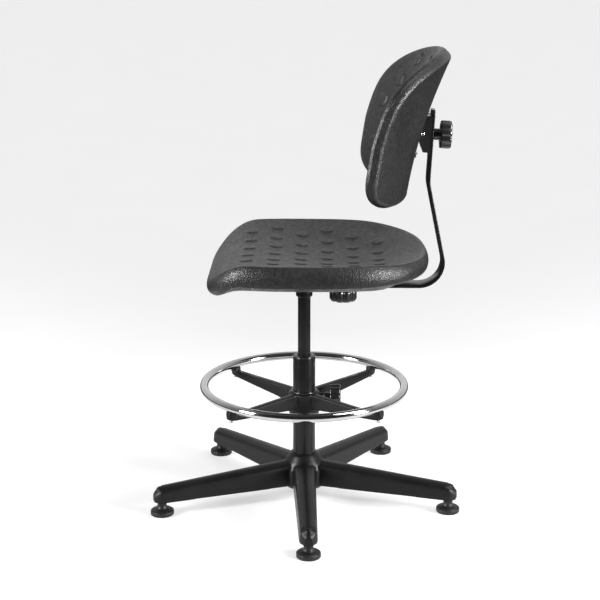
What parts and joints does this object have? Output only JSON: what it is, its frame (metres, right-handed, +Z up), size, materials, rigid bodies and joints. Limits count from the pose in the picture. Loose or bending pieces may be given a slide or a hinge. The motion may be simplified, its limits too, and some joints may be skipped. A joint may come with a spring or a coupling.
{
  "type": "drafting chair",
  "caption": "Tall swivel work chair with moulded seat and wrap-round backrest, gas lift, height-adjustable foot ring and a star base on glides.",
  "frame": {"origin": "on the floor, at the centre of the plan outline of the whole chair; the column axis is 28 mm towards -X and 4 mm towards -Y of it", "axes": "+Z up; the sitter faces -Y and the sitter's left is +X"},
  "size_m": [0.6638, 0.6866, 1.0108],
  "materials": {
    "foam_skin": "matte",
    "cast_black": "satin",
    "gloss_black": "gloss",
    "knob_black": "satin",
    "glide_black": "matte",
    "chrome": "polished",
    "zinc": "satin",
    "grey_plastic": "satin",
    "rubber": "matte",
    "board_ply": "matte"
  },
  "bodies": {
    "base": {"base_star": "cast_black", "glide_1": "glide_black", "glide_2": "glide_black", "glide_3": "glide_black", "glide_4": "glide_black", "glide_5": "glide_black", "glide_stem_1": "zinc", "glide_stem_2": "zinc", "glide_stem_3": "zinc", "glide_stem_4": "zinc", "glide_stem_5": "zinc", "outer_tube": "gloss_black", "guide_bush": "grey_plastic", "thrust_bearing": "zinc", "retaining_clip": "zinc"},
    "lift_rod": {"piston_rod": "chrome", "rubber_buffer": "rubber"},
    "seat": {"pressure_tube": "gloss_black", "rod_gland": "grey_plastic", "taper_socket": "gloss_black", "seat_plate": "gloss_black", "bar_channel": "gloss_black", "bar_liner": "grey_plastic", "weld_nut": "zinc", "lever_bracket": "gloss_black", "lever_pin": "zinc", "seat_board": "board_ply", "seat_pad": "foam_skin", "seat_bolt_1": "zinc", "seat_bolt_2": "zinc", "seat_bolt_3": "zinc", "seat_bolt_4": "zinc"},
    "valve": {"valve_pin": "zinc"},
    "lever": {"height_lever": "zinc", "lever_paddle": "knob_black"},
    "depth_clamp": {"depth_knob": "knob_black", "depth_stud": "zinc"},
    "bar": {"back_bar": "gloss_black"},
    "slider": {"slider_housing": "knob_black", "clamp_washer": "zinc"},
    "height_clamp": {"height_knob": "knob_black", "height_stud": "zinc"},
    "backrest": {"back_pad": "foam_skin", "back_bracket": "zinc", "pivot_pin": "chrome", "back_screw_1": "zinc", "back_screw_2": "zinc", "back_screw_3": "zinc", "back_screw_4": "zinc"},
    "foot_ring": {"ring_spider": "cast_black", "ring_tube": "chrome", "ring_liner": "knob_black", "ring_screw_1": "zinc", "ring_screw_2": "zinc", "ring_screw_3": "zinc", "ring_screw_4": "zinc"},
    "ring_clamp": {"ring_knob": "knob_black", "ring_stud": "zinc"}
  },
  "joints": [
    {"name": "seat_swivel", "type": "hinge", "parent": "base", "child": "lift_rod", "pos_m": [-0.028, -0.004, 0.03], "axis": [0, 0, 1], "continuous": true},
    {"name": "seat_height", "type": "slide", "parent": "lift_rod", "child": "seat", "axis": [0, 0, 1], "range_m": [-0.115, 0.095]},
    {"name": "lever_lift", "type": "hinge", "parent": "seat", "child": "lever", "pos_m": [-0.056, -0.004, 0.511], "axis": [0, 1, 0], "range_deg": [0, 5], "stiffness_Nm_per_rad": 3, "springref_deg": -5.73},
    {"name": "valve_press", "type": "slide", "parent": "seat", "child": "valve", "axis": [0, 0, -1], "range_m": [0, 0.0026]},
    {"name": "depth_knob_turn", "type": "hinge", "parent": "seat", "child": "depth_clamp", "pos_m": [-0.028, 0.082, 0.48], "axis": [0, 0, 1], "continuous": true},
    {"name": "backrest_depth", "type": "slide", "parent": "seat", "child": "bar", "axis": [0, 1, 0], "range_m": [-0.018, 0.03]},
    {"name": "backrest_height", "type": "slide", "parent": "bar", "child": "slider", "axis": [0, 0.0522, 0.9986], "range_m": [-0.045, 0.025]},
    {"name": "height_knob_turn", "type": "hinge", "parent": "slider", "child": "height_clamp", "pos_m": [-0.028, 0.26461, 0.8325], "axis": [0, 0.9986, -0.0522], "continuous": true},
    {"name": "backrest_tilt", "type": "hinge", "parent": "slider", "child": "backrest", "pos_m": [-0.028, 0.249, 0.836], "axis": [1, 0, 0], "range_deg": [-4, 6]},
    {"name": "ring_height", "type": "slide", "parent": "base", "child": "foot_ring", "axis": [0, 0, 1], "range_m": [-0.075, 0.065]},
    {"name": "ring_knob_turn", "type": "hinge", "parent": "foot_ring", "child": "ring_clamp", "pos_m": [-0.028, 0.042, 0.235], "axis": [0, 1, 0], "continuous": true}
  ],
  "couplings": [
    {"joint": "valve_press", "follows": "lever_lift", "m_per_rad": 0.028}
  ]
}
